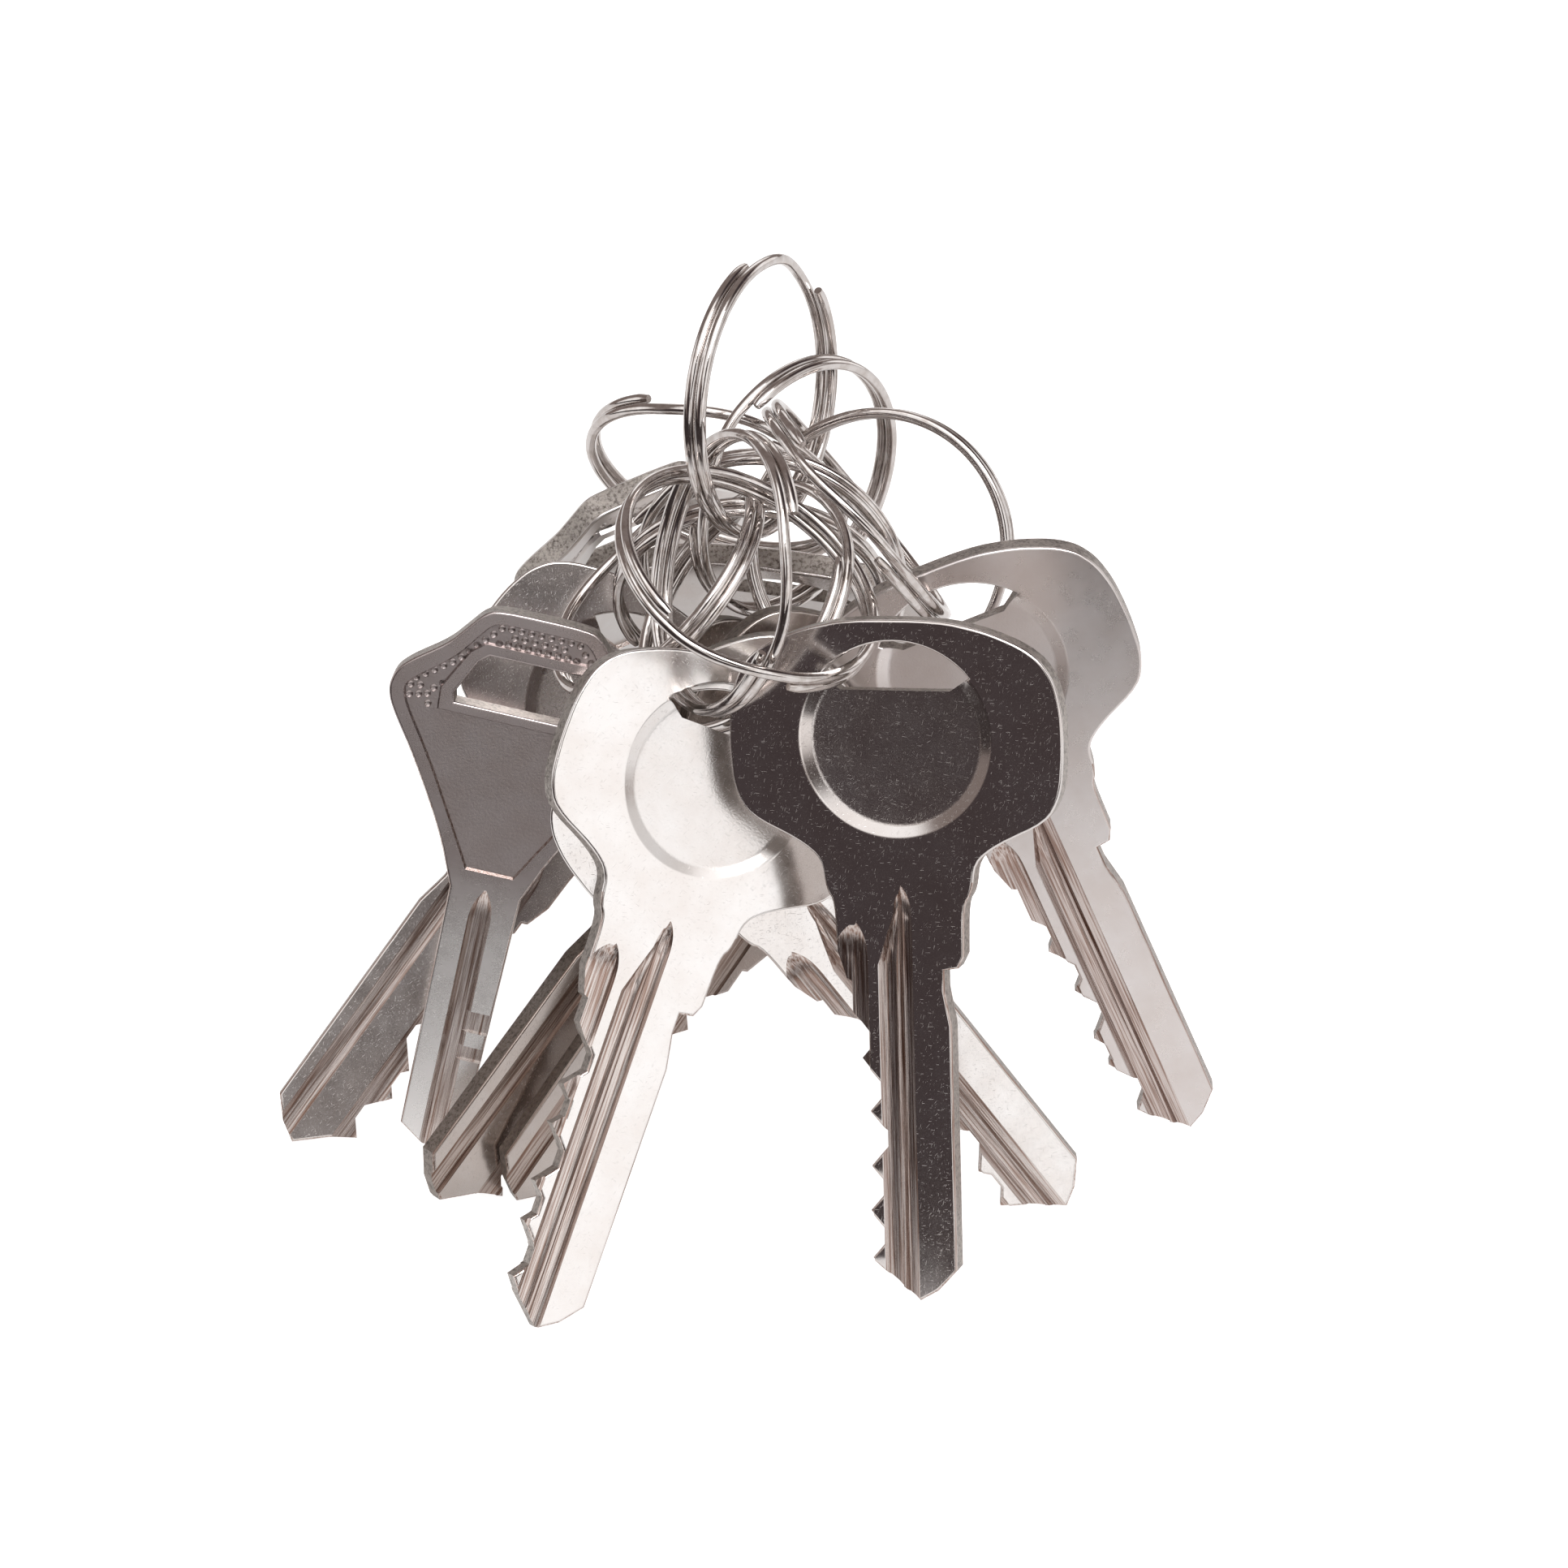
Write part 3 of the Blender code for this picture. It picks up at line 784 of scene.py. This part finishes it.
def prism(name, outline, low, high, holes=(), taper=0.0):
    """A flat cutter whose outer wall leans out towards its high side, and its holes' walls lean in."""
    loops = [turned_left(list(outline))] + [list(reversed(turned_left(list(h)))) for h in holes]
    rows = ((taper, low), (0.0, high))
    points = []
    starts = []
    for distance, z in rows:
        layer = []
        for loop in loops:
            layer.append((len(points), len(loop)))
            points.extend((x, y, z) for x, y in inset(loop, distance))
        starts.append(layer)
    faces = []
    for (a, n), (b, _) in zip(*starts):
        for i in range(n):
            j = (i + 1) % n
            faces.append((a + i, a + j, b + j, b + i))
    for layer in starts:
        rings = [[Vector((*points[s + i][:2], 0)) for i in range(n)] for s, n in layer]
        index = [s + i for s, n in layer for i in range(n)]
        faces.extend(tuple(index[i] for i in tri) for tri in tessellate_polygon(rings))
    return mesh_object(name, points, faces)


def dimpled_key(name):
    """A key with a window, a sunk field and rows of dimples on both faces, and a channel in its blade."""
    tip = [(-0.6, 0.0), (1.2, 0.0), (2.6, 1.4)]
    bow = softened(list(DIMPLED_SIDE) + mirrored(DIMPLED_SIDE), 2)
    outline = tip + bow + [(-2.9, 1.6)]
    body = rounded_plate(name, outline, DIMPLED_HALF, [DIMPLED_HOLE], edge=0.22)
    field = softened(list(FIELD_SIDE) + mirrored(FIELD_SIDE), 2)
    low = DIMPLED_HALF - FIELD_DEPTH
    high = DIMPLED_HALF + FIELD_DEPTH
    tools = []
    for up, tag in ((1, "front"), (-1, "back")):
        tools.append(prism("field_" + tag, field, up * low, up * high, [WINDOW_RIM], 0.3))
        tools.append(dimples("dimples_" + tag, up * low, up))
        tools.append(milled("channel_" + tag, CHANNEL, 20.0, 24.0, 0.0, up * DIMPLED_HALF, up))
    for low_y, high_y in STEPS_AT:
        step = [(0.6, low_y), (4.5, low_y), (4.5, high_y), (0.6, high_y)]
        tools.append(prism("step", step, DIMPLED_HALF - STEP_DEPTH, DIMPLED_HALF + 1.0))
    cut(body, tools)
    smooth(body, 30)
    return body


def paint(obj, half, looks):
    """Give each face its finish: plate, sheared wall, milled groove or sunk floor."""
    for look in looks:
        obj.data.materials.append(look)
    for face in obj.data.polygons:
        z = abs(face.center.z / MM)
        y = face.center.y / MM
        tilt = abs(face.normal.z)
        if tilt < 0.45 and z < half - SHEARED_WALL:
            face.material_index = SHEARED
        elif z < half - 0.03 and y < MILLED_BELOW and tilt > 0.02:
            face.material_index = MILLED
        elif z < half - 0.2 and tilt > 0.9:
            face.material_index = SUNK
        else:
            face.material_index = PLATE


def ring(name, centre, radius, first, second, normal, look):
    """One spring wire wound nearly twice round, with a short crossover and cut ends."""
    wound = 720 - 2 * END_GAP
    steps = round(wound / RING_STEP)
    points = []
    for i in range(steps + 1):
        t = END_GAP + i * wound / steps
        s = min(max((t - 360 + CROSSOVER) / (2 * CROSSOVER), 0.0), 1.0)
        shift = COIL_PITCH * (s * s * (3 - 2 * s) - 0.5)
        a = math.radians(t)
        out = first * math.cos(a) + second * math.sin(a)
        end = min(i, steps - i)
        slim = 1.0 if end > 1 else WIRE_END_SLIMMING[end]
        for k in range(WIRE_SIDES):
            b = 2 * math.pi * k / WIRE_SIDES
            wide = math.copysign(abs(math.cos(b)) ** WIRE_SQUARENESS, math.cos(b)) * WIRE / 2 * slim
            tall = math.copysign(abs(math.sin(b)) ** WIRE_SQUARENESS, math.sin(b)) * WIRE / 2 * slim
            points.append(out * (radius + wide) + normal * (shift + tall))
    faces = [tuple(range(WIRE_SIDES)), tuple(range(steps * WIRE_SIDES, (steps + 1) * WIRE_SIDES))]
    for i in range(steps):
        for k in range(WIRE_SIDES):
            a = i * WIRE_SIDES + k
            b = i * WIRE_SIDES + (k + 1) % WIRE_SIDES
            faces.append((a, b, b + WIRE_SIDES, a + WIRE_SIDES))
    obj = mesh_object(name, points, faces)
    obj.data.shade_smooth()
    obj.data.set_sharp_from_angle(angle=math.radians(50))
    obj.data.materials.append(look)
    obj.location = Vector(centre) * MM
    return obj


def body_of(node_name):
    """The moving body that a CAD node belongs to."""
    for body, members in frame["record"]["behaviour"]["bodies"].items():
        if node_name in members:
            return body
    raise ValueError(node_name)


for number, (node_name, (colour, roughness, wear)) in enumerate(FINISHES.items()):
    if node_name in BITTINGS:
        piece = disc_key(node_name + "_look", BITTINGS[node_name])
        half = DISC_HALF
        cut_colour = colour
        painted_blade_tone = None
    else:
        piece = dimpled_key(node_name + "_look")
        half = DIMPLED_HALF
        cut_colour = LIGHT
        # painted light: the dimpled keys' blades get this paler colour, standing in for their lighter
        # reflection
        painted_blade_tone = LIGHT
    tag = node_name.replace("key_", "")
    looks = [
        nickel("nickel_" + tag, colour, roughness, wear, seed=1.0 + number, blade=painted_blade_tone),
        sheared_metal("sheared_" + tag, toned(cut_colour, SHEARED_TONE), SHEARED_ROUGHNESS),
        milled_metal("milled_" + tag, toned(cut_colour, MILLED_TONE), MILLED_ROUGHNESS),
        nickel("sunk_" + tag, toned(colour, SUNK_TONE), roughness + 0.06, wear * 0.8, 0.3, 1.5 + number),
    ]
    paint(piece, half, looks)
    across, along, face_way, tip = key_axes(node_name)
    turn = Matrix((across, along, face_way)).transposed().to_4x4()
    piece.matrix_world = Matrix.Translation(Vector(tip) * MM) @ turn
    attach(piece, body_of(node_name))
    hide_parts(node_name)

for number, node_name in enumerate(sorted(n for n in frame["nodes"] if "ring" in n)):
    centre, radius, first, second, normal = ring_axes(node_name)
    look = wire_metal("wire_" + node_name, WIRE_COLOUR, WIRE_ROUGHNESS, number)
    piece = ring(node_name + "_look", centre, radius, first, second, normal, look)
    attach(piece, body_of(node_name))
    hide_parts(node_name)

# ---------------------------------------------------------------- floor, light and camera
floor_mesh = bpy.data.meshes.new("floor")
floor_corners = [(x * FLOOR_HALF, y * FLOOR_HALF, 0) for x, y in ((-1, -1), (1, -1), (1, 1), (-1, 1))]
floor_mesh.from_pydata(floor_corners, [], [(0, 1, 2, 3)])
floor = bpy.data.objects.new("floor", floor_mesh)
bpy.context.scene.collection.objects.link(floor)


def floor_look():
    """Plain white; what the keys mirror of it is a little greyer, with a dark card in front on the left."""
    mat, nodes, links, shader = new_material("floor_white")
    shader.inputs["Roughness"].default_value = 0.9
    shader.inputs["Specular IOR Level"].default_value = 0.0
    shader.inputs["Emission Color"].default_value = (1.0, 0.985, 0.98, 1)
    rays = nodes.new("ShaderNodeLightPath")
    place = nodes.new("ShaderNodeTexCoord")
    ahead = nodes.new("ShaderNodeVectorMath")
    ahead.operation = "DOT_PRODUCT"
    way = math.radians(CARD_WAY)
    ahead.inputs[1].default_value = (math.sin(way), -math.cos(way), 0)
    links.new(place.outputs["Object"], ahead.inputs[0])
    card = nodes.new("ShaderNodeMapRange")
    card.interpolation_type = "SMOOTHSTEP"
    card.inputs["From Min"].default_value = CARD_NEAR
    card.inputs["From Max"].default_value = CARD_FULL
    links.new(ahead.outputs["Value"], card.inputs["Value"])
    dark = math_node(nodes, links, "MULTIPLY", card.outputs["Result"], rays.outputs["Is Glossy Ray"])
    keep = math_node(nodes, links, "SUBTRACT", 1.0, dark)
    tint = ramp(nodes, links, keep, [(0.0, FLOOR_CARD), (1.0, grey(0.5))])
    links.new(tint, shader.inputs["Base Color"])
    glow = math_node(nodes, links, "MULTIPLY", keep, FLOOR_GLOW)
    lift = math_node(nodes, links, "MULTIPLY", rays.outputs["Is Camera Ray"], FLOOR_LIFT)
    links.new(math_node(nodes, links, "ADD", glow, lift), shader.inputs["Emission Strength"])
    return mat


floor_mesh.materials.append(floor_look())


def world_light():
    """A warm grey room with white panels and dark cards, which set the keys that look white or dark."""
    world = bpy.data.worlds.new("studio")
    bpy.context.scene.world = world
    world.use_nodes = True
    nodes = world.node_tree.nodes
    links = world.node_tree.links
    back = nodes["Background"]
    place = nodes.new("ShaderNodeTexCoord")

    def blob(azimuth, elevation, inner, outer):
        way = Vector((math.sin(math.radians(azimuth)) * math.cos(math.radians(elevation)),
                      -math.cos(math.radians(azimuth)) * math.cos(math.radians(elevation)),
                      math.sin(math.radians(elevation))))
        dot = nodes.new("ShaderNodeVectorMath")
        dot.operation = "DOT_PRODUCT"
        dot.inputs[1].default_value = way
        links.new(place.outputs["Generated"], dot.inputs[0])
        spread = nodes.new("ShaderNodeMapRange")
        spread.interpolation_type = "SMOOTHSTEP"
        spread.inputs["From Min"].default_value = math.cos(math.radians(outer))
        spread.inputs["From Max"].default_value = math.cos(math.radians(inner))
        links.new(dot.outputs["Value"], spread.inputs["Value"])
        return spread.outputs["Result"]

    colour = None
    for azimuth, elevation, inner, outer, tone in WORLD_PATCHES:
        mix = nodes.new("ShaderNodeMix")
        mix.data_type = "RGBA"
        if colour is None:
            mix.inputs[6].default_value = (*ROOM, 1)
        else:
            links.new(colour, mix.inputs[6])
        mix.inputs[7].default_value = (*tone, 1)
        links.new(blob(azimuth, elevation, inner, outer), mix.inputs[0])
        colour = mix.outputs[2]
    links.new(colour, back.inputs["Color"])
    back.inputs["Strength"].default_value = 1.0
    paper = nodes.new("ShaderNodeBackground")
    paper.inputs["Color"].default_value = (1, 1, 1, 1)
    rays = nodes.new("ShaderNodeLightPath")
    choose = nodes.new("ShaderNodeMixShader")
    links.new(rays.outputs["Is Camera Ray"], choose.inputs["Fac"])
    links.new(back.outputs["Background"], choose.inputs[1])
    links.new(paper.outputs["Background"], choose.inputs[2])
    links.new(choose.outputs["Shader"], nodes["World Output"].inputs["Surface"])


world_light()
key_light = bpy.data.lights.new("softbox", "AREA")
key_light.shape = "RECTANGLE"
key_light.size = 0.5
key_light.size_y = 0.35
key_light.energy = SOFTBOX_WATTS
softbox = bpy.data.objects.new("softbox", key_light)
softbox.location = SOFTBOX_AT
softbox.rotation_euler = (Vector(SOFTBOX_AIM) - softbox.location).to_track_quat("-Z", "Y").to_euler()
bpy.context.scene.collection.objects.link(softbox)

camera_data = bpy.data.cameras.new("camera")
camera_data.sensor_width = 36.0
camera_data.lens = LENS
camera_data.clip_start = 0.01
camera = bpy.data.objects.new("camera", camera_data)
bpy.context.scene.collection.objects.link(camera)
camera.location = Vector(CAMERA_AT) * MM
camera.rotation_euler = (math.pi / 2 - math.radians(CAMERA_ELEVATION), 0.0, 0.0)
bpy.context.scene.camera = camera
bpy.context.scene.view_settings.view_transform = "Standard"
